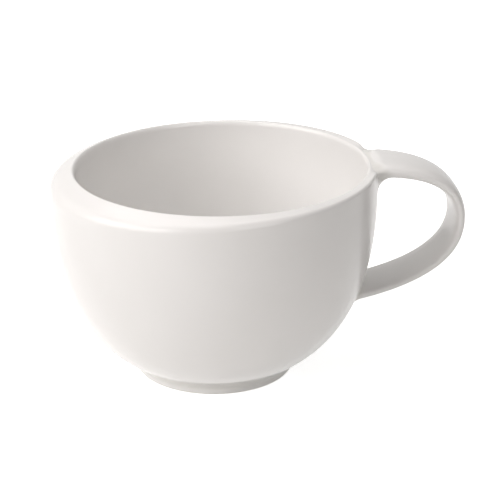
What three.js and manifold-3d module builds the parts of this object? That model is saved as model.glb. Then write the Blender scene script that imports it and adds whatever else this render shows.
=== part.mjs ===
// A latte mug in white porcelain: a round bowl on a low foot ring, with an off-centre mouth that
// leaves a crescent-shaped rim, and a strap handle that flows out of the rim.
// Millimetres, +Z up. The handle points along +X, and the origin is on the bowl's axis in the
// plane that the foot ring stands on.
//
// The bowl and the handle are cast in moulds of their own. The handle is then stuck to the bowl at
// its two roots with a thin bed of liquid clay, so the mug is four pieces: bowl, handle, two beds.

import * as THREE from 'three';
import Module from 'manifold-3d';

const wasm = await Module();
wasm.setup();

// Bowl, outside
const BODY_RADIUS = 54; // wall just under the rim
const MOUTH_HEIGHT = 71; // drinking edge above the table
const SHOULDER_DEPTH = 6.2; // upper end of the belly's curve, below the drinking edge
const WALL_LEAN = 0.5; // the belly's pull outwards, past the wall under the rim
const WALL_PULL = 33.2; // how far the upright wall reaches down into the belly's curve
const BELLY_SLOPE = THREE.MathUtils.degToRad(26); // where the belly leaves the foot ring
const BELLY_PULL = 19.7; // how far that slope reaches out into the belly's curve

// Foot ring
const FOOT_RADIUS = 26.4; // outside, at the table
const FOOT_FLARE = 0.2; // how much wider the ring is where the belly starts
const FOOT_HEIGHT = 3.5;
const FOOT_WIDTH = 3.6; // at the table
const FOOT_ROUND = 0.6; // corners at the table
const RECESS_DEPTH = 2.6; // underside above the table, inside the ring
const RECESS_SLOPE = 1.2; // how far the ring's inner side leans in over that depth
const RECESS_ROUND = 1.6; // corner between the ring and the underside
const NECK_ROUND = 1.5; // hollow corner between the ring and the belly

// Wall, rim and mouth
const WALL = 4.6; // belly
const FLOOR = 4.4;
const FLOOR_FLAT = 13; // radius of the level middle of the floor
const FLOOR_SWEEP = 0.13; // share of the belly's curve that the floor's sweep takes up
const RIM_WIDTH = 6; // mean width from the wall to the mouth
const MOUTH_SHIFT = 2.7; // mouth's centre, off the axis towards the handle
const SHIFT_DEPTH = 38; // depth at which the inside is on the bowl's axis again
const RIM_FALL = 4.5; // outer edge of the rim below the mouth, opposite the handle
const RIM_RISE = 0.7; // outer edge of the rim above the mouth, at the handle
const RIM_ROUND = 2; // outer edge
const MOUTH_ROUND = 1.5; // drinking edge

// Handle: a strap that leaves the rim level, turns down at the grip and comes back to the belly
const STRAP_LIFT = 1.2; // top of the strap's upper root, above the drinking edge
const HANDLE_REACH = 29.9; // outside of the grip, from the wall
const GRIP_DROP = 18.7; // most outward point of the strap, below its upper root
const ROOT_DROP = 45.1; // lower root below the upper one
const ROOT_SINK = 4.9; // how far the strap's curve starts inside the wall
const UPPER_PULL = 22.1; // reach of each tangent into the strap's curve
const GRIP_PULL_UP = 12.1;
const GRIP_PULL_DOWN = 18.8;
const LOWER_PULL = 11;
const LOWER_SLOPE = THREE.MathUtils.degToRad(10.9); // strap's rise as it leaves the lower root
const UPPER_WIDTH = 22;
const GRIP_WIDTH = 18;
const LOWER_WIDTH = 20.3;
const UPPER_THICKNESS = 5;
const GRIP_THICKNESS = 4.2;
const LOWER_THICKNESS = 3.4;
const STRAP_SQUARENESS = 3; // 2 is an oval section, more is a squarer one
const UPPER_FILLET = 6; // under the upper root
const LOWER_FILLET = 0.7; // over and under the lower root
const SIDE_FILLET = 4; // beside both roots

// Clay beds between the bowl and the handle
const BED = 1;
const CLEARANCE = 0.3; // between a bed and what it holds

// Fineness of the curved faces
const ROUND_STEPS = 64;
const BELLY_STEPS = 13;
const FLOOR_STEPS = 4;
const CORNER_STEPS = 3;
const SECTION_STEPS = 22;
const STRAP_STEPS = 44;
const HALVINGS = 24; // of a curve, to find the point at a height

// Values that follow from the sizes above
const MOUTH_RADIUS = BODY_RADIUS - RIM_WIDTH;
const SHOULDER_HEIGHT = MOUTH_HEIGHT - SHOULDER_DEPTH;
const NECK_RADIUS = FOOT_RADIUS + FOOT_FLARE;
const FLOOR_HEIGHT = RECESS_DEPTH + FLOOR;
const STRAP_TOP = MOUTH_HEIGHT + STRAP_LIFT;

const glaze = new THREE.MeshStandardMaterial({ color: 0xf1efea, roughness: 0.16, metalness: 0 });
const bareClay = new THREE.MeshStandardMaterial({ color: 0xe9e4da, roughness: 0.7, metalness: 0 });

// Closed skin over a row of rings, with a middle point to close each end. The rings run
// anticlockwise about the direction that the row goes in, so the faces point out.
function loft(rings, firstMiddle, lastMiddle) {
  const count = rings[0].length;
  const points = [...rings.flat(), firstMiddle, lastMiddle];
  const first = points.length - 2;
  const last = points.length - 1;
  const lastRing = (rings.length - 1) * count;
  const faces = [];
  for (let side = 0; side < count; side += 1) {
    const next = (side + 1) % count;
    faces.push(first, next, side);
    for (let ring = 0; ring < lastRing; ring += count) {
      faces.push(ring + side, ring + next, ring + count + side);
      faces.push(ring + next, ring + count + next, ring + count + side);
    }
    faces.push(last, lastRing + side, lastRing + next);
  }
  const skin = new THREE.BufferGeometry().setFromPoints(points);
  skin.setIndex(faces);
  return skin;
}

// A station of the bowl is one level ring of its skin: x is the ring's radius, y its height,
// z its shift towards the handle and w its extra height on the handle's side.
function station(radius, height, shift = 0, lift = 0) {
  return new THREE.Vector4(radius, height, shift, lift);
}

function stationRing({ x: radius, y: height, z: shift, w: lift }) {
  return Array.from({ length: ROUND_STEPS }, (_, step) => {
    const angle = (2 * Math.PI * step) / ROUND_STEPS;
    const across = radius * Math.cos(angle);
    return new THREE.Vector3(shift + across, radius * Math.sin(angle), height + lift * Math.cos(angle));
  });
}

// Skin through stations that begin and end near the axis, at the height of those two stations.
function stationSkin(stations) {
  const middles = [stations[0], stations.at(-1)].map(({ y }) => new THREE.Vector3(0, 0, y));
  return loft(stations.map(stationRing), ...middles);
}

// Stations of a path whose inner corners are rounded off, each by its own length to both sides,
// or by half of a shorter side.
function roundedPath(corners) {
  const path = [corners[0].at];
  for (let index = 1; index < corners.length - 1; index += 1) {
    const { at, round } = corners[index];
    const [entry, exit] = [corners[index - 1].at, corners[index + 1].at].map((neighbour) => {
      const side = neighbour.clone().sub(at).length();
      return at.clone().lerp(neighbour, Math.min(round / side, 0.5));
    });
    for (let step = 0; step <= CORNER_STEPS; step += 1) {
      const share = step / CORNER_STEPS;
      const towardsCorner = entry.clone().lerp(at, share);
      path.push(towardsCorner.lerp(at.clone().lerp(exit, share), share));
    }
  }
  path.push(corners.at(-1).at);
  return path;
}

// Outside of the belly, from the foot ring to the shoulder, in radius and height.
const belly = new THREE.CubicBezierCurve(
  new THREE.Vector2(NECK_RADIUS, FOOT_HEIGHT),
  new THREE.Vector2(
    NECK_RADIUS + BELLY_PULL * Math.cos(BELLY_SLOPE),
    FOOT_HEIGHT + BELLY_PULL * Math.sin(BELLY_SLOPE),
  ),
  new THREE.Vector2(BODY_RADIUS + WALL_LEAN, SHOULDER_HEIGHT - WALL_PULL),
  new THREE.Vector2(BODY_RADIUS, SHOULDER_HEIGHT),
);

// Point of the belly's curve, moved outwards, square to the curve.
function bellyOffset(share, distance) {
  const tangent = belly.getTangent(share);
  return belly.getPoint(share).add(new THREE.Vector2(tangent.y, -tangent.x).multiplyScalar(distance));
}

// Radius of the belly's outside at a height, by halving the curve until the height is met.
function bellyRadiusAt(height) {
  let [low, high] = [0, 1];
  for (let halving = 0; halving < HALVINGS; halving += 1) {
    const middle = (low + high) / 2;
    [low, high] = belly.getPoint(middle).y < height ? [middle, high] : [low, middle];
  }
  return belly.getPoint(low).x;
}

// Inside of the wall: the belly's curve moved in by the wall, which widens towards the rim, while
// the hollow drifts towards the handle to meet the off-centre mouth.
function insideStation(share) {
  const outsideHeight = belly.getPoint(share).y;
  const drift = THREE.MathUtils.smoothstep(outsideHeight, MOUTH_HEIGHT - SHIFT_DEPTH, SHOULDER_HEIGHT);
  const { x, y } = bellyOffset(share, -THREE.MathUtils.lerp(WALL, RIM_WIDTH, drift));
  return station(x, y, MOUTH_SHIFT * drift);
}

function footStations() {
  const innerRadius = FOOT_RADIUS - FOOT_WIDTH;
  const bellyStart = belly.getPoint(1 / BELLY_STEPS);
  return roundedPath([
    { at: station(innerRadius / 2, RECESS_DEPTH) },
    { at: station(innerRadius - RECESS_SLOPE, RECESS_DEPTH), round: RECESS_ROUND },
    { at: station(innerRadius, 0), round: FOOT_ROUND },
    { at: station(FOOT_RADIUS, 0), round: FOOT_ROUND },
    { at: station(NECK_RADIUS, FOOT_HEIGHT), round: NECK_ROUND },
    { at: station(bellyStart.x, bellyStart.y) },
  ]);
}

function bellyStations() {
  return Array.from({ length: BELLY_STEPS - 2 }, (_, step) => {
    const { x, y } = belly.getPoint((step + 2) / BELLY_STEPS);
    return station(x, y);
  });
}

// The rim falls away from the mouth on the far side of the handle and rises a little to the strap.
function rimStations() {
  const edgeHeight = MOUTH_HEIGHT + (RIM_RISE - RIM_FALL) / 2;
  const edgeLift = (RIM_RISE + RIM_FALL) / 2;
  return roundedPath([
    { at: station(BODY_RADIUS, SHOULDER_HEIGHT) },
    { at: station(BODY_RADIUS, edgeHeight, 0, edgeLift), round: RIM_ROUND },
    { at: station(MOUTH_RADIUS, MOUTH_HEIGHT, MOUTH_SHIFT), round: MOUTH_ROUND },
    { at: insideStation(1) },
  ]);
}

function insideStations() {
  const steps = BELLY_STEPS - 1;
  return Array.from({ length: steps }, (_, step) => {
    return insideStation(THREE.MathUtils.lerp(1, FLOOR_SWEEP, (step + 1) / steps));
  });
}

// The floor sweeps from the inside of the wall down to a level middle.
function floorStations() {
  const wallEnd = insideStation(FLOOR_SWEEP);
  const slope = belly.getTangent(FLOOR_SWEEP);
  const bend = wallEnd.x - ((wallEnd.y - FLOOR_HEIGHT) * slope.x) / slope.y;
  const sweep = new THREE.QuadraticBezierCurve(
    new THREE.Vector2(wallEnd.x, wallEnd.y),
    new THREE.Vector2(bend, FLOOR_HEIGHT),
    new THREE.Vector2(FLOOR_FLAT, FLOOR_HEIGHT),
  );
  return sweep.getPoints(FLOOR_STEPS).slice(1).map(({ x, y }) => station(x, y));
}

function bowlSkin() {
  return stationSkin([
    ...footStations(),
    ...bellyStations(),
    ...rimStations(),
    ...insideStations(),
    ...floorStations(),
  ]);
}

// Middle line of the strap, in distance from the axis and height.
function strapLine() {
  const upper = new THREE.Vector2(BODY_RADIUS - ROOT_SINK, STRAP_TOP - UPPER_THICKNESS / 2);
  const grip = new THREE.Vector2(BODY_RADIUS + HANDLE_REACH - GRIP_THICKNESS / 2, upper.y - GRIP_DROP);
  const lowerHeight = upper.y - ROOT_DROP;
  const lower = new THREE.Vector2(bellyRadiusAt(lowerHeight) - ROOT_SINK, lowerHeight);
  const curves = new THREE.CurvePath();
  curves.add(new THREE.CubicBezierCurve(
    upper,
    new THREE.Vector2(upper.x + UPPER_PULL, upper.y),
    new THREE.Vector2(grip.x, grip.y + GRIP_PULL_UP),
    grip,
  ));
  curves.add(new THREE.CubicBezierCurve(
    grip,
    new THREE.Vector2(grip.x, grip.y - GRIP_PULL_DOWN),
    new THREE.Vector2(
      lower.x + LOWER_PULL * Math.cos(LOWER_SLOPE),
      lower.y + LOWER_PULL * Math.sin(LOWER_SLOPE),
    ),
    lower,
  ));
  return curves;
}

// Hollow quarter-round of a radius that runs out onto the wall: its height at a distance from it.
function filletHeight(radius, distance) {
  const run = radius - THREE.MathUtils.clamp(distance, 0, radius);
  return radius - Math.sqrt(radius * radius - run * run);
}

const line = strapLine();
const [upperHalf] = line.getCurveLengths();
const GRIP_SHARE = upperHalf / line.getLength();

// One cross-section of the strap, at a share of its length: a soft-edged band, which swells into
// fillets where it meets the wall.
function strapRing(share) {
  const middle = line.getPointAt(share);
  const tangent = line.getTangentAt(share);
  const isUpper = share < GRIP_SHARE;
  const pastGrip = isUpper ? 1 - share / GRIP_SHARE : (share - GRIP_SHARE) / (1 - GRIP_SHARE);
  const nearRoot = Math.sin((pastGrip * Math.PI) / 2);
  const rootWidth = isUpper ? UPPER_WIDTH : LOWER_WIDTH;
  const rootThickness = isUpper ? UPPER_THICKNESS : LOWER_THICKNESS;
  const wallDistance = middle.x - bellyRadiusAt(middle.y);
  const halfWidth = THREE.MathUtils.lerp(GRIP_WIDTH, rootWidth, nearRoot) / 2
    + filletHeight(SIDE_FILLET, wallDistance);
  const halfThickness = THREE.MathUtils.lerp(GRIP_THICKNESS, rootThickness, nearRoot) / 2;
  const insideFillet = filletHeight(isUpper ? UPPER_FILLET : LOWER_FILLET, wallDistance);
  const outsideFillet = isUpper ? 0 : filletHeight(LOWER_FILLET, wallDistance);
  const soften = (value) => Math.sign(value) * Math.abs(value) ** (2 / STRAP_SQUARENESS);
  return Array.from({ length: SECTION_STEPS }, (_, step) => {
    const angle = (2 * Math.PI * step) / SECTION_STEPS;
    const across = halfWidth * soften(Math.cos(angle));
    const fillet = Math.sin(angle) > 0 ? outsideFillet : insideFillet;
    const out = (halfThickness + fillet) * soften(Math.sin(angle));
    return new THREE.Vector3(middle.x - tangent.y * out, across, middle.y + tangent.x * out);
  });
}

// Skin of the strap between two shares of its length, with its sections closer near the roots.
function strapSkin(from, to) {
  const shares = Array.from({ length: STRAP_STEPS + 1 }, (_, step) => {
    return (1 - Math.cos((Math.PI * step) / STRAP_STEPS)) / 2;
  }).filter((share) => share >= from && share <= to);
  const middles = [shares[0], shares.at(-1)].map((share) => {
    const { x, y } = line.getPointAt(share);
    return new THREE.Vector3(x, 0, y);
  });
  return loft(shares.map(strapRing), ...middles);
}

function solidOf(skin) {
  return new wasm.Manifold(new wasm.Mesh({
    numProp: 3,
    vertProperties: new Float32Array(skin.attributes.position.array),
    triVerts: new Uint32Array(skin.index.array),
  }));
}

function skinOf(solid) {
  const { vertProperties, triVerts } = solid.getMesh();
  const skin = new THREE.BufferGeometry();
  skin.setAttribute('position', new THREE.BufferAttribute(vertProperties, 3));
  skin.setIndex(new THREE.BufferAttribute(triVerts, 1));
  return skin;
}

// Solid of all that lies within a distance of the bowl's outside, and straight up past the rim.
function aroundBowl(distance) {
  const sides = Array.from({ length: BELLY_STEPS + 1 }, (_, step) => {
    return bellyOffset(step / BELLY_STEPS, distance);
  });
  const top = new THREE.Vector2(sides.at(-1).x, STRAP_TOP + UPPER_THICKNESS);
  return solidOf(stationSkin([...sides, top].map(({ x, y }) => station(x, y))));
}

// Thin bed of clay under one root of the strap, shaped to the wall.
function bedSkin(from, to) {
  const reach = aroundBowl(CLEARANCE + BED).subtract(aroundBowl(CLEARANCE));
  return skinOf(solidOf(strapSkin(from, to)).intersect(reach));
}

function handleSkin() {
  return skinOf(solidOf(strapSkin(0, 1)).subtract(aroundBowl(CLEARANCE + BED + CLEARANCE)));
}

function piece(name, skin, material) {
  skin.computeVertexNormals();
  const mesh = new THREE.Mesh(skin, material);
  mesh.name = name;
  return mesh;
}

const mug = new THREE.Group();
mug.add(piece('bowl', bowlSkin(), glaze));
mug.add(piece('handle', handleSkin(), glaze));
mug.add(piece('upper_slip_joint', bedSkin(0, GRIP_SHARE), bareClay));
mug.add(piece('lower_slip_joint', bedSkin(GRIP_SHARE, 1), bareClay));

export default mug;
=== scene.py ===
"""A latte mug in white glazed porcelain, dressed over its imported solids.

The bowl is turned on an axis, but its mouth sits off that axis, so its rim is a crescent that is
widest and lowest opposite the handle. The strap handle flows out of the narrow side of the rim and
comes back to the belly. Lengths are metres, the handle points along +X and the mug stands on z = 0.
"""

import logging
import math
from dataclasses import dataclass, field
from enum import Enum
from typing import Any, Mapping, Sequence

import bmesh
import bpy
import numpy as np
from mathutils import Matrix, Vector
from mathutils.bvhtree import BVHTree
from numpy.typing import NDArray


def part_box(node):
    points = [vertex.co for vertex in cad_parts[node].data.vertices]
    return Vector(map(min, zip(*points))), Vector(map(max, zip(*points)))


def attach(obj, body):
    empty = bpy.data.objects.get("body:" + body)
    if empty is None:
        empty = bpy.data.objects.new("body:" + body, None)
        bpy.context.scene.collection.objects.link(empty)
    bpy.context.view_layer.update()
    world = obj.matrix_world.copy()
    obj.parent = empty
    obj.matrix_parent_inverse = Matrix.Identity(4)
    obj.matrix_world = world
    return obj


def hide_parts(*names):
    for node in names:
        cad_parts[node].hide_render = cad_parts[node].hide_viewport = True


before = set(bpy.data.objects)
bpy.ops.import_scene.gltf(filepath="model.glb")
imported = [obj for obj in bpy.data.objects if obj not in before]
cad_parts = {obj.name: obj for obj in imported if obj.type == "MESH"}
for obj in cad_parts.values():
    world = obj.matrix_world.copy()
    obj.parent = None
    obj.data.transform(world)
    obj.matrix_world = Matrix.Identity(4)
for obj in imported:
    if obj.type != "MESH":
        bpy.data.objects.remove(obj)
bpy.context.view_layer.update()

Points = NDArray[np.float64]
LOG = logging.getLogger("latte_mug")

MM = 0.001
BODY = "root"

PAINTED_SHADE_ATTRIBUTE = "painted_corner_shade"
BARE_ATTRIBUTE = "bare_clay"
FAR_ATTRIBUTE = "far_side"

# Sockets of Blender's Mix node, which come once for each kind of value
MIX_FACTOR = 0
MIX_NUMBERS = (2, 3)
MIX_VECTORS = (4, 5)
MIX_COLOURS = (6, 7)
MIX_NUMBER_RESULT = 0
MIX_VECTOR_RESULT = 1
MIX_COLOUR_RESULT = 2


class RimSide(Enum):
    """The two sides of the bowl between which its section changes."""

    HANDLE = "handle side"
    FAR = "far side"


class Root(Enum):
    """The two ends of the strap."""

    UPPER = "upper root"
    LOWER = "lower root"


def linear_colour(code: str) -> tuple[float, float, float, float]:
    """Turn an sRGB hex colour into the linear colour that a node socket takes.

    Args:
        code: Six hex digits, red first.

    Returns:
        Red, green, blue and full opacity.
    """
    channels = [int(code[place:place + 2], 16) / 255 for place in (0, 2, 4)]
    red, green, blue = (
        value / 12.92 if value <= 0.04045 else ((value + 0.055) / 1.055) ** 2.4 for value in channels
    )
    return red, green, blue, 1.0


def add_node(
    tree: bpy.types.NodeTree,
    kind: str,
    settings: Mapping[str, Any] | None = None,
    inputs: Mapping[str | int, Any] | None = None,
) -> bpy.types.Node:
    """Add a node to a tree with its settings, its fixed values and the links into it.

    Args:
        tree: Tree that gets the node.
        kind: Blender's identifier of the node's type.
        settings: Properties of the node itself, such as its operation.
        inputs: A fixed value or a socket to link from, by the input's name or index.

    Returns:
        The new node.
    """
    node = tree.nodes.new(kind)
    for name, value in (settings or {}).items():
        setattr(node, name, value)
    for key, value in (inputs or {}).items():
        if isinstance(value, bpy.types.NodeSocket):
            tree.links.new(value, node.inputs[key])
        else:
            node.inputs[key].default_value = value
    return node


def smoothstep(values: Points | float, start: float, end: float) -> Points:
    """Rise smoothly from 0 at start to 1 at end.

    Args:
        values: Where the rise is wanted.
        start: Value that gives 0.
        end: Value that gives 1, above or below start.

    Returns:
        The rise at each value.
    """
    share = np.clip((np.asarray(values, dtype=float) - start) / (end - start), 0.0, 1.0)
    return share * share * (3.0 - 2.0 * share)


def unit(vectors: Points) -> Points:
    """Scale vectors to length one.

    Args:
        vectors: Vectors along the last axis.

    Returns:
        The same directions, one long.
    """
    return vectors / np.linalg.norm(vectors, axis=-1, keepdims=True)


def bezier(controls: Sequence[Any], shares: Points) -> Points:
    """Work out points of a Bézier curve, or of many side by side.

    Args:
        controls: Control points in order, each one point or one array of points.
        shares: Places along the curve, from 0 to 1.

    Returns:
        A point, or an array of points, for each share.
    """
    places = np.asarray(shares).reshape(-1, *[1] * np.ndim(controls[0]))
    rows = [np.asarray(control) + 0.0 * places for control in controls]
    while len(rows) > 1:
        rows = [start + (end - start) * places for start, end in zip(rows, rows[1:])]
    return rows[0]


@dataclass(frozen=True)
class Corner:
    """A corner of a section, and how far its rounding reaches along the sides before and after it."""

    at: tuple[float, float]
    round: float = 0.0
    round_after: float | None = None

    def reaches(self) -> tuple[float, float]:
        """Say how far the rounding reaches.

        Returns:
            Its reach along the side before the corner and along the side after it.
        """
        return self.round, self.round if self.round_after is None else self.round_after


def rounded_path(corners: Sequence[Corner], turn_steps: int = 10, run_steps: int = 4) -> Points:
    """Draw a path whose inner corners are rounded by quarter-round curves.

    Args:
        corners: Corners in order. The first and the last are the path's ends.
        turn_steps: Points on each rounding.
        run_steps: Points on each straight run.

    Returns:
        Points of the path, its ends included.
    """
    roundness = 0.56
    places = [np.array(corner.at) for corner in corners]
    leave = places[0]
    legs: list[Points] = []
    for index, corner in enumerate(corners[1:-1], start=1):
        at = places[index]
        entry, leaving = (
            at + (side - at) * min(reach / np.linalg.norm(side - at), 0.5)
            for side, reach in zip((places[index - 1], places[index + 1]), corner.reaches())
        )
        legs.append(bezier([leave, entry], np.linspace(0, 1, run_steps, endpoint=False)))
        bend = [entry, entry + roundness * (at - entry), leaving + roundness * (at - leaving), leaving]
        legs.append(bezier(bend, np.linspace(0, 1, turn_steps, endpoint=False)))
        leave = leaving
    legs.append(bezier([leave, places[-1]], np.linspace(0, 1, run_steps + 1)))
    return np.vstack(legs)


def closed_mesh(name: str, mesh: bpy.types.Mesh) -> bpy.types.Object:
    """Wrap a closed mesh in an object, with its faces pointing out and shaded smooth.

    Args:
        name: Name of the piece.
        mesh: Its mesh, placed in the part's frame.

    Returns:
        The object, linked to the scene.
    """
    shell = bmesh.new()
    shell.from_mesh(mesh)
    bmesh.ops.recalc_face_normals(shell, faces=shell.faces)
    shell.to_mesh(mesh)
    shell.free()
    mesh.shade_smooth()
    piece = bpy.data.objects.new(name, mesh)
    bpy.context.scene.collection.objects.link(piece)
    return piece


@dataclass(frozen=True)
class GlazedPorcelain:
    """Slip-cast porcelain under a clear glossy glaze, bare only where the foot ring stands."""

    # To the eye: a neutral, softly mirroring white whose gloss wavers a little, with painted shade, a darker
    # grey, laid into the hollow corners and the strap's roots, and matt, sandy and warmer on the bare ring.
    # The clay's real grain is about ten times finer and is drawn coarser so that it shows.
    name: str = "glazed_porcelain"
    glaze: str = "F3F2F1"
    glaze_shade: str = "EFEEEC"
    painted_shade_colour: str = "E7E6E2"
    bisque: str = "DDD5C8"
    ior: float = 1.5
    roughness: tuple[float, float] = (0.21, 0.27)
    bisque_roughness: float = 0.75
    tone_width: float = 22 * MM
    ripple_width: float = 8 * MM
    ripple_height: float = 0.03 * MM
    grain_width: float = 0.5 * MM
    grain_height: float = 0.05 * MM

    def material(self) -> bpy.types.Material:
        """Make the material.

        Returns:
            A material on Object coordinates and on the pieces' own attributes: painted corner shade and bare
            clay.
        """
        material = bpy.data.materials.new(self.name)
        material.use_nodes = True
        tree = material.node_tree
        tree.nodes.clear()
        place = add_node(tree, "ShaderNodeTexCoord").outputs["Object"]
        painted_shade = add_node(tree, "ShaderNodeAttribute", {"attribute_name": PAINTED_SHADE_ATTRIBUTE}).outputs["Fac"]
        bare = add_node(tree, "ShaderNodeAttribute", {"attribute_name": BARE_ATTRIBUTE}).outputs["Fac"]
        tone, ripple, grain = (
            add_node(tree, "ShaderNodeTexNoise", inputs={
                "Vector": place, "Scale": 1 / width, "Detail": detail,
            })
            for width, detail in ((self.tone_width, 2.0), (self.ripple_width, 1.0), (self.grain_width, 3.0))
        )
        colour = self._colour(tree, tone.outputs["Fac"], painted_shade, bare)
        roughness = self._roughness(tree, ripple.outputs["Fac"], bare)
        normal = self._relief(tree, ripple.outputs["Fac"], grain.outputs["Fac"], bare)
        surface = add_node(tree, "ShaderNodeBsdfPrincipled", inputs={
            "Base Color": colour, "Roughness": roughness, "Normal": normal, "IOR": self.ior,
        })
        add_node(tree, "ShaderNodeOutputMaterial", inputs={"Surface": surface.outputs["BSDF"]})
        return material

    def _colour(
        self, tree: bpy.types.NodeTree, tone: bpy.types.NodeSocket, painted_shade: bpy.types.NodeSocket,
        bare: bpy.types.NodeSocket,
    ) -> bpy.types.NodeSocket:
        """Mix the colour: slow drifts of tone, painted shade of a darker grey in the hollow corners, and bare
        clay.

        Args:
            tree: Tree of the material.
            tone: Slow noise.
            painted_shade: How much painted shade, a darker grey, a hollow corner gets.
            bare: Where the clay has no glaze.

        Returns:
            Socket of the colour.
        """
        colour: Any = linear_colour(self.glaze)
        # The middle colour is painted shade: a darker grey laid into hollow corners, where shade falls
        for factor, code in ((tone, self.glaze_shade), (painted_shade, self.painted_shade_colour), (bare, self.bisque)):
            colour = add_node(tree, "ShaderNodeMix", {"data_type": "RGBA"}, {
                MIX_FACTOR: factor, MIX_COLOURS[0]: colour, MIX_COLOURS[1]: linear_colour(code),
            }).outputs[MIX_COLOUR_RESULT]
        return colour

    def _roughness(
        self, tree: bpy.types.NodeTree, ripple: bpy.types.NodeSocket, bare: bpy.types.NodeSocket,
    ) -> bpy.types.NodeSocket:
        """Vary the gloss a little with the ripple, and make bare clay matt.

        Args:
            tree: Tree of the material.
            ripple: Noise of the glaze's ripple.
            bare: Where the clay has no glaze.

        Returns:
            Socket of the roughness.
        """
        glossy = add_node(tree, "ShaderNodeMapRange", inputs={
            "Value": ripple, "To Min": self.roughness[0], "To Max": self.roughness[1],
        })
        return add_node(tree, "ShaderNodeMix", {"data_type": "FLOAT"}, {
            MIX_FACTOR: bare, MIX_NUMBERS[0]: glossy.outputs["Result"], MIX_NUMBERS[1]: self.bisque_roughness,
        }).outputs[MIX_NUMBER_RESULT]

    def _relief(
        self, tree: bpy.types.NodeTree, ripple: bpy.types.NodeSocket, grain: bpy.types.NodeSocket,
        bare: bpy.types.NodeSocket,
    ) -> bpy.types.NodeSocket:
        """Raise the faint ripple of the glaze, and the grain of bare clay.

        Args:
            tree: Tree of the material.
            ripple: Noise of the glaze's ripple.
            grain: Noise of the clay's grain.
            bare: Where the clay has no glaze.

        Returns:
            Socket of the normal.
        """
        rippled = add_node(tree, "ShaderNodeBump", inputs={"Height": ripple, "Distance": self.ripple_height})
        return add_node(tree, "ShaderNodeBump", inputs={
            "Height": grain, "Distance": self.grain_height, "Strength": bare,
            "Normal": rippled.outputs["Normal"],
        }).outputs["Normal"]


@dataclass(frozen=True)
class RimSection:
    """Section of the rim on one side of the bowl."""

    width: float
    fall: float
    edge_round: float
    mouth_round: float
    mouth_sweep: float


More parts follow.
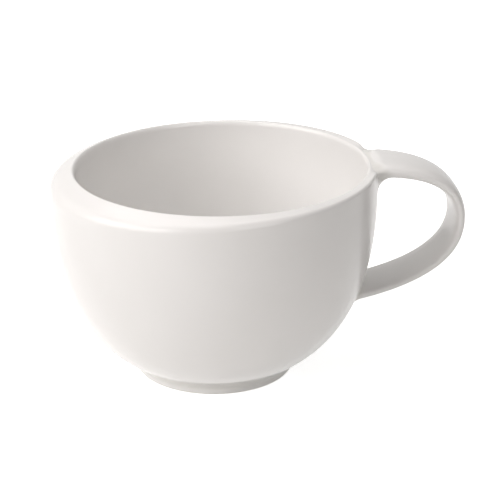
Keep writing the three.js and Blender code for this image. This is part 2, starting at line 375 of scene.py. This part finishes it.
@dataclass
class Bowl:
    """The bowl: foot ring, belly, crescent rim and hollow, as one closed shell."""

    material: bpy.types.Material
    mouth_height: float = 71 * MM
    shoulder_depth: float = 6.2 * MM
    wall_lean: float = 0.5 * MM
    wall_pull: float = 33.2 * MM
    belly_slope: float = math.radians(26)
    belly_pull: float = 19.7 * MM
    foot_radius: float = 26.4 * MM
    foot_flare: float = 0.2 * MM
    foot_height: float = 3.5 * MM
    foot_width: float = 3.6 * MM
    foot_round: float = 0.6 * MM
    recess_depth: float = 2.6 * MM
    recess_slope: float = 1.2 * MM
    recess_round: float = 1.6 * MM
    neck_round: float = 1.7 * MM
    neck_sweep: float = 3.2 * MM
    belly_start: float = 0.12
    wall: float = 4.6 * MM
    floor: float = 4.4 * MM
    floor_flat: float = 13 * MM
    floor_sweep: float = 0.13
    shift_depth: float = 38 * MM
    rim_leg: float = 10.5 * MM
    strap_fall: float = 1.6 * MM
    strap_fall_width: float = 2.8 * MM
    strap_fall_beside: tuple[float, float] = (8 * MM, 18 * MM)
    # Reach of the painted shade around the foot's hollow corners
    painted_shade_reach: float = 1.8 * MM
    bare_height: float = 0.25 * MM
    segments: int = 288
    belly_steps: int = 56
    hollow_steps: int = 52
    sweep_steps: int = 15
    floor_steps: int = 6
    curve_samples: int = 400
    rims: Mapping[RimSide, RimSection] = field(default_factory=lambda: {
        RimSide.HANDLE: RimSection(3.3 * MM, -0.7 * MM, 0.8 * MM, mouth_round=0.8 * MM, mouth_sweep=1.4 * MM),
        RimSide.FAR: RimSection(8.7 * MM, 4.5 * MM, 3.2 * MM, mouth_round=1.6 * MM, mouth_sweep=4.0 * MM),
    })

    def __post_init__(self) -> None:
        """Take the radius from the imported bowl, and work out what follows from the sizes."""
        self.body_radius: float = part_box("bowl")[1][1]
        self.shoulder: float = self.mouth_height - self.shoulder_depth
        self.neck_radius: float = self.foot_radius + self.foot_flare
        self.belly_controls = [
            (self.neck_radius, self.foot_height),
            (
                self.neck_radius + self.belly_pull * math.cos(self.belly_slope),
                self.foot_height + self.belly_pull * math.sin(self.belly_slope),
            ),
            (self.body_radius + self.wall_lean, self.shoulder - self.wall_pull),
            (self.body_radius, self.shoulder),
        ]

    def belly(self, shares: Points) -> Points:
        """Draw the belly's outside.

        Args:
            shares: Places along its curve, 0 at the neck and 1 at the shoulder.

        Returns:
            Radius and height of each point.
        """
        return bezier(self.belly_controls, shares)

    def radius_at(self, height: float) -> float:
        """Radius of the belly's outside at a height.

        Args:
            height: Height above the table.

        Returns:
            The radius.
        """
        curve = self.belly(np.linspace(0, 1, self.curve_samples))
        return float(np.interp(height, curve[:, 1], curve[:, 0]))

    def share_at(self, height: float) -> float:
        """Share of the belly's curve at a height.

        Args:
            height: Height above the table.

        Returns:
            The share, from 0 to 1.
        """
        shares = np.linspace(0, 1, self.curve_samples)
        return float(np.interp(height, self.belly(shares)[:, 1], shares))

    def inside(self, shares: Points, side: RimSide) -> Points:
        """Points of the hollow's wall: the belly's curve, moved in by the wall.

        Args:
            shares: Places along the belly's curve.
            side: Side of the bowl.

        Returns:
            Radius and height of each point.
        """
        nudge = 0.001
        at = self.belly(shares)
        along = unit(self.belly(shares + nudge) - self.belly(shares - nudge))
        inward = np.column_stack([-along[:, 1], along[:, 0]])
        widths = {each: self.rims[each].width for each in RimSide}
        mean = sum(widths.values()) / len(widths)
        drift = smoothstep(at[:, 1], self.mouth_height - self.shift_depth, self.shoulder)[:, None]
        shift = (mean - widths[side]) * drift * np.array([1.0, 0.0])
        return at + inward * (self.wall + (mean - self.wall) * drift) + shift

    def section(self, side: RimSide) -> Points:
        """Draw half of the bowl's section, from the middle of the underside to the middle of the floor.

        Args:
            side: Side of the bowl.

        Returns:
            Radius and height of each point, as many on both sides.
        """
        rim = self.rims[side]
        inner_foot = self.foot_radius - self.foot_width
        rim_start = self.share_at(self.mouth_height - self.rim_leg)
        outside = self.belly(np.linspace(self.belly_start, rim_start, self.belly_steps))
        hollow = self.inside(np.linspace(1.0, self.floor_sweep, self.hollow_steps), side)
        floor_height = self.recess_depth + self.floor
        slope = hollow[-1] - hollow[-2]
        bend = hollow[-1] + slope * (floor_height - hollow[-1][1]) / slope[1]
        foot = rounded_path([
            Corner((0.0, self.recess_depth)),
            Corner((inner_foot - self.recess_slope, self.recess_depth), self.recess_round),
            Corner((inner_foot, 0.0), self.foot_round),
            Corner((self.foot_radius, 0.0), self.foot_round),
            Corner((self.neck_radius, self.foot_height), self.neck_round, self.neck_sweep),
            Corner(tuple(outside[0])),
        ])
        lip = rounded_path([
            Corner(tuple(outside[-1])),
            Corner((self.body_radius, self.mouth_height - rim.fall), rim.edge_round),
            Corner((self.body_radius - rim.width, self.mouth_height), rim.mouth_round, rim.mouth_sweep),
            Corner(tuple(hollow[0])),
        ], turn_steps=14, run_steps=6)
        flat_edge = (self.floor_flat, floor_height)
        sweep = bezier([hollow[-1], bend, flat_edge], np.linspace(0, 1, self.sweep_steps))
        middle = bezier([flat_edge, (0.0, floor_height)], np.linspace(0, 1, self.floor_steps))
        return np.vstack([foot[:-1], outside[:-1], lip[:-1], hollow[:-1], sweep[:-1], middle])

    def painted_corner_shade(self, section: Points) -> Points:
        """Painted shade in the hollow corners of the foot, from 0 to 1: how much darker grey each point gets.

        Args:
            section: Points of the bowl's section.

        Returns:
            One value for each point.
        """
        corners = [
            (self.neck_radius, self.foot_height),
            (self.foot_radius - self.foot_width - self.recess_slope, self.recess_depth),
        ]
        reach = [np.linalg.norm(section - np.array(corner), axis=1) / self.painted_shade_reach for corner in corners]
        return np.exp(-np.minimum(*reach) ** 2)

    def profile(self) -> bpy.types.Mesh:
        """Make the mesh that the lathe reads: the handle side's section, with the far side beside it.

        Returns:
            A mesh of loose points in order.
        """
        near, far = (self.section(side) for side in RimSide)
        mesh = bpy.data.meshes.new("bowl_section")
        mesh.from_pydata([(radius, 0.0, height) for radius, height in near], [], [])
        opposite = mesh.attributes.new(FAR_ATTRIBUTE, "FLOAT_VECTOR", "POINT")
        opposite.data.foreach_set("vector", np.insert(far, 1, 0.0, axis=1).ravel())
        bare = 1.0 - smoothstep(near[:, 1], 0.5 * self.bare_height, self.bare_height)
        # The section carries the painted corner shade and the bare clay of the foot ring
        for name, values in ((PAINTED_SHADE_ATTRIBUTE, self.painted_corner_shade(near)), (BARE_ATTRIBUTE, bare)):
            mesh.attributes.new(name, "FLOAT", "POINT").data.foreach_set("value", values)
        return mesh

    def _ease_rim(self, mesh: bpy.types.Mesh) -> None:
        """Let the rim's outer edge fall away beside the strap, which flows out of the mouth's edge.

        Args:
            mesh: The turned shell, which is changed.
        """
        points = np.empty(3 * len(mesh.vertices))
        mesh.vertices.foreach_get("co", points)
        along, across, height = points.reshape(-1, 3).T
        away = np.hypot(along, across)
        beside = 1.0 - smoothstep(np.abs(across), *self.strap_fall_beside)
        edge = smoothstep(away, self.body_radius - self.strap_fall_width, self.body_radius)
        upper = smoothstep(height, self.mouth_height - self.rim_leg, self.mouth_height)
        height -= self.strap_fall * beside * edge * upper * (along > 0)
        mesh.vertices.foreach_set("co", points)

    def build(self) -> bpy.types.Object:
        """Turn the two sections into the closed bowl and put it in the frame.

        Returns:
            The finished piece.
        """
        mesh = EccentricLathe(self.segments).turn(self.profile(), self.material)
        self._ease_rim(mesh)
        piece = closed_mesh("porcelain_bowl", mesh)
        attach(piece, BODY)
        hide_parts("bowl")
        return piece


@dataclass
class EccentricLathe:
    """Geometry Nodes tree that turns a section about Z while it changes from one side to the other."""

    segments: int
    weld: float = 0.002 * MM

    def tree(self) -> tuple[bpy.types.NodeTree, dict[str, str]]:
        """Build the node tree.

        Returns:
            The tree, and its inputs' identifiers by name.
        """
        tree = bpy.data.node_groups.new("eccentric_lathe", "GeometryNodeTree")
        sockets = {"Section": "Geometry", "Segments": "Int", "Weld": "Float", "Finish": "Material"}
        names = {
            name: tree.interface.new_socket(
                name=name, in_out="INPUT", socket_type=f"NodeSocket{kind}",
            ).identifier
            for name, kind in sockets.items()
        }
        tree.interface.new_socket(name="Shell", in_out="OUTPUT", socket_type="NodeSocketGeometry")
        given = add_node(tree, "NodeGroupInput").outputs
        count = add_node(tree, "GeometryNodeAttributeDomainSize", inputs={"Geometry": given["Section"]})
        columns = add_node(tree, "FunctionNodeIntegerMath", {"operation": "ADD"}, {
            0: given["Segments"], 1: 1,
        })
        sheet = add_node(tree, "GeometryNodeMeshGrid", inputs={
            "Vertices X": count.outputs["Point Count"], "Vertices Y": columns.outputs[0],
        })
        index = add_node(tree, "GeometryNodeInputIndex").outputs[0]
        row, column = (
            add_node(tree, "FunctionNodeIntegerMath", {"operation": operation}, {
                0: index, 1: columns.outputs[0],
            }).outputs[0]
            for operation in ("DIVIDE", "MODULO")
        )
        shell = add_node(tree, "GeometryNodeSetPosition", inputs={
            "Geometry": sheet.outputs["Mesh"],
            "Position": self._position(tree, given, row, column),
        }).outputs["Geometry"]
        # Carry the painted corner shade and the bare clay from the section onto the shell
        for name in (PAINTED_SHADE_ATTRIBUTE, BARE_ATTRIBUTE):
            value = add_node(tree, "GeometryNodeInputNamedAttribute", {"data_type": "FLOAT"}, {"Name": name})
            sample = add_node(tree, "GeometryNodeSampleIndex", {"data_type": "FLOAT", "domain": "POINT"}, {
                "Geometry": given["Section"], "Value": value.outputs["Attribute"], "Index": row,
            })
            shell = add_node(
                tree, "GeometryNodeStoreNamedAttribute", {"data_type": "FLOAT", "domain": "POINT"},
                {"Geometry": shell, "Name": name, "Value": sample.outputs["Value"]},
            ).outputs["Geometry"]
        welded = add_node(tree, "GeometryNodeMergeByDistance", inputs={
            "Geometry": shell, "Distance": given["Weld"],
        })
        whole = add_node(tree, "GeometryNodeRealizeInstances", inputs={
            "Geometry": welded.outputs["Geometry"],
        })
        finished = add_node(tree, "GeometryNodeSetMaterial", inputs={
            "Geometry": whole.outputs["Geometry"], "Material": given["Finish"],
        })
        add_node(tree, "NodeGroupOutput", inputs={"Shell": finished.outputs["Geometry"]})
        return tree, names

    def _position(
        self, tree: bpy.types.NodeTree, given: Any, row: bpy.types.NodeSocket, column: bpy.types.NodeSocket,
    ) -> bpy.types.NodeSocket:
        """Place a point of the shell.

        Each ring of the shell is a circle through its near and far point, so its centre lies
        between them and it tilts with the difference of their heights.

        Args:
            tree: The node tree.
            given: Outputs of the group's input node.
            row: Number of the section's point.
            column: Number of the segment.

        Returns:
            Socket of the position.
        """
        sources = (
            add_node(tree, "GeometryNodeInputPosition").outputs["Position"],
            add_node(
                tree, "GeometryNodeInputNamedAttribute", {"data_type": "FLOAT_VECTOR"},
                {"Name": FAR_ATTRIBUTE},
            ).outputs["Attribute"],
        )
        near, far = (
            add_node(tree, "GeometryNodeSampleIndex", {"data_type": "FLOAT_VECTOR", "domain": "POINT"}, {
                "Geometry": given["Section"], "Value": source, "Index": row,
            }).outputs["Value"]
            for source in sources
        )
        middle = add_node(tree, "ShaderNodeMix", {"data_type": "VECTOR"}, {
            MIX_FACTOR: 0.5, MIX_VECTORS[0]: near, MIX_VECTORS[1]: far,
        }).outputs[MIX_VECTOR_RESULT]
        lean = add_node(tree, "ShaderNodeVectorMath", {"operation": "SUBTRACT"}, {0: near, 1: middle})
        middle_parts, lean_parts = (
            add_node(tree, "ShaderNodeSeparateXYZ", inputs={"Vector": vector}).outputs
            for vector in (middle, lean.outputs["Vector"])
        )
        turn = add_node(tree, "ShaderNodeMath", {"operation": "DIVIDE"}, {0: column, 1: given["Segments"]})
        angle = add_node(tree, "ShaderNodeMath", {"operation": "MULTIPLY"}, {
            0: turn.outputs[0], 1: math.tau,
        })
        cosine, sine = (
            add_node(tree, "ShaderNodeMath", {"operation": operation}, {0: angle.outputs[0]}).outputs[0]
            for operation in ("COSINE", "SINE")
        )
        along, up = (
            add_node(tree, "ShaderNodeMath", {"operation": "MULTIPLY_ADD"}, {
                0: cosine, 1: factor, 2: start,
            }).outputs[0]
            for factor, start in ((middle_parts["X"], lean_parts["X"]), (lean_parts["Z"], middle_parts["Z"]))
        )
        across = add_node(tree, "ShaderNodeMath", {"operation": "MULTIPLY"}, {0: sine, 1: middle_parts["X"]})
        return add_node(tree, "ShaderNodeCombineXYZ", inputs={
            "X": along, "Y": across.outputs[0], "Z": up,
        }).outputs["Vector"]

    def turn(self, section: bpy.types.Mesh, material: bpy.types.Material) -> bpy.types.Mesh:
        """Turn a section into a plain closed mesh.

        Args:
            section: Points of the near side, with the far side as an attribute.
            material: Finish of the shell.

        Returns:
            The finished mesh.
        """
        blank = bpy.data.objects.new("lathe_blank", section)
        bpy.context.scene.collection.objects.link(blank)
        tree, names = self.tree()
        modifier = blank.modifiers.new("lathe", "NODES")
        modifier.node_group = tree
        modifier[names["Segments"]] = self.segments
        modifier[names["Weld"]] = self.weld
        modifier[names["Finish"]] = material
        graph = bpy.context.evaluated_depsgraph_get()
        mesh = bpy.data.meshes.new_from_object(
            blank.evaluated_get(graph), preserve_all_data_layers=True, depsgraph=graph,
        )
        blank.modifiers.remove(modifier)
        bpy.data.objects.remove(blank)
        return mesh


@dataclass(frozen=True)
class RootFillet:
    """Hollow sweep that carries the strap's skin onto the bowl at one root, by side of the strap."""

    outer: float
    corner: float
    beside: float
    inner: float
    face_power: int = 6

    def sizes(self, angles: Points) -> Points:
        """Reach of the sweep at angles around the strap's section.

        Args:
            angles: Angles of the strap's generators, with the outer face at a quarter turn.

        Returns:
            One reach for each angle.
        """
        face = np.sin(angles)
        flat = np.abs(face) ** self.face_power
        edge = np.abs(np.sin(2 * angles)) * (face > 0)
        size = self.beside + edge * (self.corner - self.beside)
        return size + flat * (np.where(face > 0, self.outer, self.inner) - size)


@dataclass
class StrapHandle:
    """The handle: a soft-edged band that grows out of the rim and ends on the belly."""

    bowl: Bowl
    skin: BVHTree
    material: bpy.types.Material
    lift: float = 1.2 * MM
    reach: float = 29.9 * MM
    grip_drop: float = 18.7 * MM
    root_drop: float = 45.1 * MM
    root_sink: float = 4.9 * MM
    upper_pull: float = 22.1 * MM
    grip_pull_up: float = 12.1 * MM
    grip_pull_down: float = 18.8 * MM
    lower_pull: float = 11 * MM
    lower_slope: float = math.radians(10.9)
    widths: tuple[float, float, float] = (22 * MM, 18 * MM, 20.3 * MM)
    thicknesses: tuple[float, float, float] = (5 * MM, 4.2 * MM, 3.4 * MM)
    squarenesses: tuple[float, float, float] = (3.2, 2.6, 3.0)
    squareness_power: int = 4
    settle_from: float = 1.5 * MM
    settle_to: float = 3.3 * MM
    settle_depth: float = 1.4 * MM
    around: int = 112
    along: int = 150
    outline_samples: int = 4000
    bend_steps: int = 9
    bend_pull: float = 0.6
    tuck_reach: float = 1.5 * MM
    tuck_depth: float = 0.06 * MM
    core_depth: float = 1.8 * MM
    fillets: Mapping[Root, RootFillet] = field(default_factory=lambda: {
        Root.UPPER: RootFillet(outer=1.0 * MM, corner=5.0 * MM, beside=5.4 * MM, inner=6.4 * MM),
        Root.LOWER: RootFillet(outer=1.1 * MM, corner=2.4 * MM, beside=2.9 * MM, inner=1.2 * MM),
    })

    def middle_line(self, samples: int = 700) -> tuple[Points, Points]:
        """Draw the strap's middle line, in distance from the axis and height.

        Args:
            samples: Points on each of its two curves.

        Returns:
            Points at even steps, and for each its place: 0 upper root, 1 grip, 2 lower root.
        """
        radius = self.bowl.body_radius
        top = self.bowl.mouth_height + self.lift
        upper = np.array([radius - self.root_sink, top - self.thicknesses[0] / 2])
        grip = np.array([radius + self.reach - self.thicknesses[1] / 2, upper[1] - self.grip_drop])
        low = upper[1] - self.root_drop
        lower = np.array([self.bowl.radius_at(low) - self.root_sink, low])
        slope = np.array([math.cos(self.lower_slope), math.sin(self.lower_slope)])
        shares = np.linspace(0, 1, samples)
        halves = [
            bezier([upper, upper + (self.upper_pull, 0), grip + (0, self.grip_pull_up), grip], shares),
            bezier([grip, grip - (0, self.grip_pull_down), lower + self.lower_pull * slope, lower], shares),
        ]
        points = np.vstack([halves[0], halves[1][1:]])
        run = np.concatenate([[0.0], np.cumsum(np.linalg.norm(np.diff(points, axis=0), axis=1))])
        even = np.linspace(0, run[-1], 2 * samples)
        place = np.interp(even, [0.0, run[samples - 1], run[-1]], [0.0, 1.0, 2.0])
        return np.column_stack([np.interp(even, run, column) for column in points.T]), place

    def section_angles(self) -> Points:
        """Angles at which the section's points lie evenly spaced around it.

        Returns:
            One angle for each generator of the strap.
        """
        angles = np.linspace(0, math.tau, self.outline_samples)
        grip = (sizes[1] / 2 for sizes in (self.widths, self.thicknesses, self.squarenesses))
        outline = self._outline(angles, *grip)
        run = np.concatenate([[0.0], np.cumsum(np.linalg.norm(np.diff(outline, axis=0), axis=1))])
        return np.interp(np.linspace(0, run[-1], self.around, endpoint=False), run, angles)

    def _outline(self, angles: Points, half_width: Any, half_thickness: Any, half_squareness: Any) -> Points:
        """Draw the strap's soft-edged section.

        Args:
            angles: Angles around the section, with the outer face at a quarter turn.
            half_width: Half of the strap's width.
            half_thickness: Half of its thickness.
            half_squareness: Half of the outline's power: 1 is an ellipse, more is squarer.

        Returns:
            Across the strap and out of its middle line, for each angle.
        """
        cosine, sine = np.cos(angles), np.sin(angles)
        across = half_width * np.sign(cosine) * np.abs(cosine) ** (1 / half_squareness)
        out = half_thickness * np.sign(sine) * np.abs(sine) ** (1 / half_squareness)
        return np.stack([across, out], axis=-1)

    def generators(self) -> tuple[Points, Points]:
        """Draw the strap's skin without its fillets.

        Returns:
            Points by step along the strap and by angle around it, and the skin's outward normals.
        """
        line, place = self.middle_line()
        along = unit(np.gradient(line, axis=0))
        angles = self.section_angles()
        near_root = np.sin(np.abs(place - 1) * math.pi / 2)
        half_width, half_thickness, half_squareness = (
            (grip + nearness * (np.where(place < 1, upper, lower) - grip))[:, None] / 2
            for (upper, grip, lower), nearness in (
                (self.widths, near_root),
                (self.thicknesses, near_root),
                (self.squarenesses, near_root ** self.squareness_power),
            )
        )
        outline = self._outline(angles[None, :], half_width, half_thickness, half_squareness)
        across, out = outline[..., 0], outline[..., 1]
        skin = np.stack([
            line[:, :1] - along[:, 1:] * out, across, line[:, 1:] + along[:, :1] * out,
        ], axis=-1)
        wall = self.bowl.body_radius
        away = np.hypot(skin[..., 0], skin[..., 1])
        settle = smoothstep(away, wall + self.settle_from, wall - self.settle_to)
        upper_face = np.clip(out / half_thickness, 0.0, 1.0) * (place[:, None] < 1)
        skin[..., 2] -= settle * upper_face * self.settle_depth
        lengthwise = np.gradient(skin, axis=0)
        crosswise = np.roll(skin, -1, axis=1) - np.roll(skin, 1, axis=1)
        return skin, unit(np.cross(crosswise, lengthwise))

    def _nearest(self, points: Points) -> tuple[Points, Points]:
        """Find the bowl's skin next to points.

        Args:
            points: Places near the bowl.

        Returns:
            Nearest points of the skin and its outward normals there.
        """
        found = [self.skin.find_nearest(Vector(point)) for point in points]
        return np.array([tuple(hit[0]) for hit in found]), np.array([tuple(hit[1]) for hit in found])

    def _entry(self, generator: Points) -> float:
        """Find where a generator, followed towards its root, goes into the bowl.

        Args:
            generator: Points of the generator, the root last.

        Returns:
            The step of the crossing, as a fraction.
        """
        near, normals = self._nearest(generator)
        depth = np.einsum("ij,ij->i", generator - near, normals)
        inside = int(np.argmax(depth < 0))
        return inside - 1 + depth[inside - 1] / (depth[inside - 1] - depth[inside])

    def root(self, root: Root, skin: Points, normals: Points) -> tuple[Points, Points]:
        """Shape one root: where each generator leaves the band, and its sweep onto the bowl.

        Args:
            root: Which root.
            skin: The strap's skin, by step and angle.
            normals: The skin's outward normals.

        Returns:
            The step at which each generator's sweep starts, and the sweep's rings, from the band to
            the bowl and a little below its glaze.
        """
        order = slice(None, None, -1) if root is Root.UPPER else slice(None)
        ordered, facing = skin[order], normals[order]
        half = len(ordered) // 2
        size = self.fillets[root].sizes(self.section_angles())
        steps = np.arange(len(ordered))
        pace = np.linalg.norm(np.diff(ordered, axis=0), axis=2)
        run = np.vstack([np.zeros(self.around), np.cumsum(pace, axis=0)])
        starts, corners, edges, facings = [], [], [], []
        for number in range(self.around):
            entry = half + self._entry(ordered[half:, number])
            start = np.interp(np.interp(entry, steps, run[:, number]) - size[number], run[:, number], steps)
            corners.append([np.interp(entry, steps, column) for column in ordered[:, number].T])
            edges.append([np.interp(start, steps, column) for column in ordered[:, number].T])
            facings.append(facing[int(entry), number])
            starts.append(start)
        corner, edge, outward = np.array(corners), np.array(edges), np.array(facings)
        _, wall = self._nearest(corner)
        spread = outward + unit(corner - edge)
        spread = unit(spread - np.sum(spread * wall, axis=1, keepdims=True) * wall)
        landing, _ = self._nearest(corner + spread * size[:, None])
        tuck, tucked = self._nearest(landing + spread * self.tuck_reach)
        pulls = (edge + self.bend_pull * (corner - edge), landing + self.bend_pull * (corner - landing))
        bend = [edge, *pulls, landing]
        sweep = bezier(bend, np.linspace(0, 1, self.bend_steps + 1))
        core = tuck.mean(axis=0) - tucked.mean(axis=0) * self.core_depth
        below = tuck - tucked * self.tuck_depth
        rings = np.concatenate([sweep, [below, below + 0.5 * (core - below)]])
        start_steps = np.array(starts)
        return (len(skin) - 1 - start_steps if root is Root.UPPER else start_steps), rings

    def rings(self) -> tuple[Points, Points]:
        """Join both roots with the band between them.

        Returns:
            Rings of the whole handle from the upper root to the lower one, and each ring's painted shade, a
            darker grey across the root fillets where the strap meets the bowl.
        """
        skin, normals = self.generators()
        first, upper = self.root(Root.UPPER, skin, normals)
        last, lower = self.root(Root.LOWER, skin, normals)
        shares = np.linspace(0, 1, self.along + 1)[1:-1, None]
        steps = first + shares * (last - first)
        low = np.floor(steps).astype(int)
        part = (steps - low)[..., None]
        column = np.arange(self.around)
        band = skin[low, column] * (1 - part) + skin[low + 1, column] * part
        # Painted shade across each root's fillet, strongest midway between the band and the bowl
        sweep = np.sin(np.linspace(0, math.pi, self.bend_steps + 1))
        sweep = np.append(sweep, np.zeros(len(upper) - len(sweep)))
        painted_shades = np.concatenate([sweep[::-1], np.zeros(len(band)), sweep])
        return np.concatenate([upper[::-1], band, lower]), painted_shades

    def build(self) -> bpy.types.Object:
        """Loft the rings into the closed handle and put it in the frame.

        Returns:
            The finished piece.
        """
        rings, painted_shades = self.rings()
        count = self.around
        vertices = np.vstack([rings.reshape(-1, 3), rings[0].mean(axis=0), rings[-1].mean(axis=0)])
        faces: list[tuple[int, ...]] = []
        final = (len(rings) - 1) * count
        for side in range(count):
            following = (side + 1) % count
            faces.extend(
                (ring + side, ring + following, ring + count + following, ring + count + side)
                for ring in range(0, final, count)
            )
            faces.append((len(vertices) - 2, following, side))
            faces.append((len(vertices) - 1, final + side, final + following))
        mesh = bpy.data.meshes.new("strap_handle")
        mesh.from_pydata(vertices.tolist(), [], faces)
        # Painted shade of the root fillets, and no bare clay on the handle
        painted_shade = np.append(np.repeat(painted_shades, count), [0.0, 0.0])
        for name, values in ((PAINTED_SHADE_ATTRIBUTE, painted_shade), (BARE_ATTRIBUTE, 0.0 * painted_shade)):
            mesh.attributes.new(name, "FLOAT", "POINT").data.foreach_set("value", values)
        mesh.materials.append(self.material)
        piece = closed_mesh("strap_handle", mesh)
        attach(piece, BODY)
        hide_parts("handle", "upper_slip_joint", "lower_slip_joint")
        return piece


@dataclass(frozen=True)
class SoftBox:
    """A studio lamp with a soft front, aimed at the mug. Azimuth 0 is the camera's side, 90 is +X."""

    name: str
    azimuth: float
    elevation: float
    distance: float
    width: float
    height: float
    power: float
    colour: str = "FFFBF9"

    def place(self, target: Vector) -> bpy.types.Object:
        """Put the lamp in the scene.

        Args:
            target: Point that it is aimed at.

        Returns:
            The lamp's object.
        """
        lamp = bpy.data.lights.new(self.name, "AREA")
        lamp.shape = "RECTANGLE"
        lamp.size = self.width
        lamp.size_y = self.height
        lamp.energy = self.power
        lamp.color = linear_colour(self.colour)[:3]
        holder = bpy.data.objects.new(self.name, lamp)
        turn, rise = math.radians(self.azimuth), math.radians(self.elevation)
        away = Vector((math.sin(turn) * math.cos(rise), -math.cos(turn) * math.cos(rise), math.sin(rise)))
        holder.location = target + away * self.distance
        holder.rotation_euler = away.to_track_quat("Z", "Y").to_euler()
        bpy.context.scene.collection.objects.link(holder)
        return holder


@dataclass
class Studio:
    """White paper floor, soft lamps, pale surroundings and the camera."""

    floor_size: float = 8.0
    floor_gap: float = 0.02 * MM
    paper: str = "F4F4F3"
    paper_glow: float = 0.75
    surroundings: str = "FFFEFC"
    ambient: float = 0.0
    camera_place: tuple[float, float, float] = (-45.986 * MM, -544.562 * MM, 254.422 * MM)
    camera_pitch: float = math.radians(21.42)
    camera_turn: float = math.radians(-6.0)
    focal_pixels: float = 1754.2
    image_long_side: int = 504
    sensor: float = 36.0
    lamps: tuple[SoftBox, ...] = (
        SoftBox("key_left", azimuth=-67, elevation=27, distance=1.2, width=1.25, height=0.65, power=9.8),
        SoftBox("top_left", azimuth=-110, elevation=74, distance=0.55, width=0.6, height=0.45, power=1.75),
        SoftBox("fill_front", azimuth=23, elevation=23, distance=1.2, width=0.6, height=0.6, power=2.8),
        SoftBox("side_right", azimuth=125, elevation=52, distance=1.2, width=1.4, height=0.8, power=1.8),
    )

    def build(self) -> None:
        """Set up the floor, the surroundings, the lamps, the camera and the view."""
        scene = bpy.context.scene
        scene.view_settings.view_transform = "Standard"
        self._floor()
        self._surroundings(scene)
        target = Vector((0.0, 0.0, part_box("bowl")[1][2] / 2))
        for lamp in self.lamps:
            lamp.place(target)
            LOG.info("lamp %s", lamp.name)
        scene.camera = self._camera(scene)

    def _seen(self, tree: bpy.types.NodeTree) -> bpy.types.NodeSocket:
        """Tell rays that show the backdrop, straight, mirrored or through glass, from rays that light.

        Args:
            tree: Tree of a material or of the world.

        Returns:
            Socket that is 1 for a ray that shows it.
        """
        path = add_node(tree, "ShaderNodeLightPath").outputs
        seen = path["Is Camera Ray"]
        for name in ("Is Glossy Ray", "Is Transmission Ray"):
            seen = add_node(tree, "ShaderNodeMath", {"operation": "MAXIMUM"}, {
                0: seen, 1: path[name],
            }).outputs[0]
        return seen

    def _floor(self) -> None:
        """Lay the paper floor, which looks white and still takes the mug's shadow."""
        half = self.floor_size / 2
        sides = ((-half, -half), (half, -half), (half, half), (-half, half))
        corners = [(x, y, -self.floor_gap) for x, y in sides]
        mesh = bpy.data.meshes.new("paper_floor")
        mesh.from_pydata(corners, [], [(0, 1, 2, 3)])
        # To the eye: matt sheet without grain, white where it is seen, that still darkens under the mug
        material = bpy.data.materials.new("white_studio_paper")
        material.use_nodes = True
        tree = material.node_tree
        tree.nodes.clear()
        sheet = add_node(tree, "ShaderNodeBsdfDiffuse", inputs={"Color": linear_colour(self.paper)})
        glow = add_node(tree, "ShaderNodeEmission", inputs={"Strength": self.paper_glow})
        white = add_node(tree, "ShaderNodeAddShader", inputs={0: sheet.outputs[0], 1: glow.outputs[0]})
        both = add_node(tree, "ShaderNodeMixShader", inputs={
            0: self._seen(tree), 1: sheet.outputs[0], 2: white.outputs[0],
        })
        add_node(tree, "ShaderNodeOutputMaterial", inputs={"Surface": both.outputs[0]})
        mesh.materials.append(material)
        floor = bpy.data.objects.new("paper_floor", mesh)
        bpy.context.scene.collection.objects.link(floor)
        LOG.info("stage %s", floor.name)

    def _surroundings(self, scene: bpy.types.Scene) -> None:
        """Fill the world with a pale room that is white where it is seen and leaves the light to the lamps.

        Args:
            scene: Scene that gets the world.
        """
        world = bpy.data.worlds.new("pale_room")
        world.use_nodes = True
        tree = world.node_tree
        tree.nodes.clear()
        colour = linear_colour(self.surroundings)
        light, white = (
            add_node(tree, "ShaderNodeBackground", inputs={"Color": colour, "Strength": strength}).outputs[0]
            for strength in (self.ambient, 1.0)
        )
        both = add_node(tree, "ShaderNodeMixShader", inputs={0: self._seen(tree), 1: light, 2: white})
        add_node(tree, "ShaderNodeOutputWorld", inputs={"Surface": both.outputs[0]})
        scene.world = world

    def _camera(self, scene: bpy.types.Scene) -> bpy.types.Object:
        """Stand the camera where the photograph was taken from.

        Args:
            scene: Scene that gets the camera.

        Returns:
            The camera's object.
        """
        lens = bpy.data.cameras.new("camera")
        lens.sensor_width = self.sensor
        lens.lens = self.focal_pixels * self.sensor / self.image_long_side
        camera = bpy.data.objects.new("camera", lens)
        camera.location = self.camera_place
        camera.rotation_euler = (math.pi / 2 - self.camera_pitch, 0.0, self.camera_turn)
        scene.collection.objects.link(camera)
        return camera


def skin_tree(piece: bpy.types.Object) -> BVHTree:
    """Make a search tree over a finished piece's faces.

    Args:
        piece: The piece, placed in its mesh.

    Returns:
        The tree.
    """
    shell = bmesh.new()
    shell.from_mesh(piece.data)
    tree = BVHTree.FromBMesh(shell)
    shell.free()
    return tree


def main() -> None:
    """Build the mug and its studio, and log each piece's name and face count."""
    logging.basicConfig(level=logging.INFO, format="%(name)s: %(message)s")
    porcelain = GlazedPorcelain().material()
    bowl = Bowl(porcelain)
    shell = bowl.build()
    LOG.info("piece %s, %d faces", shell.name, len(shell.data.polygons))
    strap = StrapHandle(bowl, skin_tree(shell), porcelain).build()
    LOG.info("piece %s, %d faces", strap.name, len(strap.data.polygons))
    Studio().build()


if __name__ == "__main__":
    main()
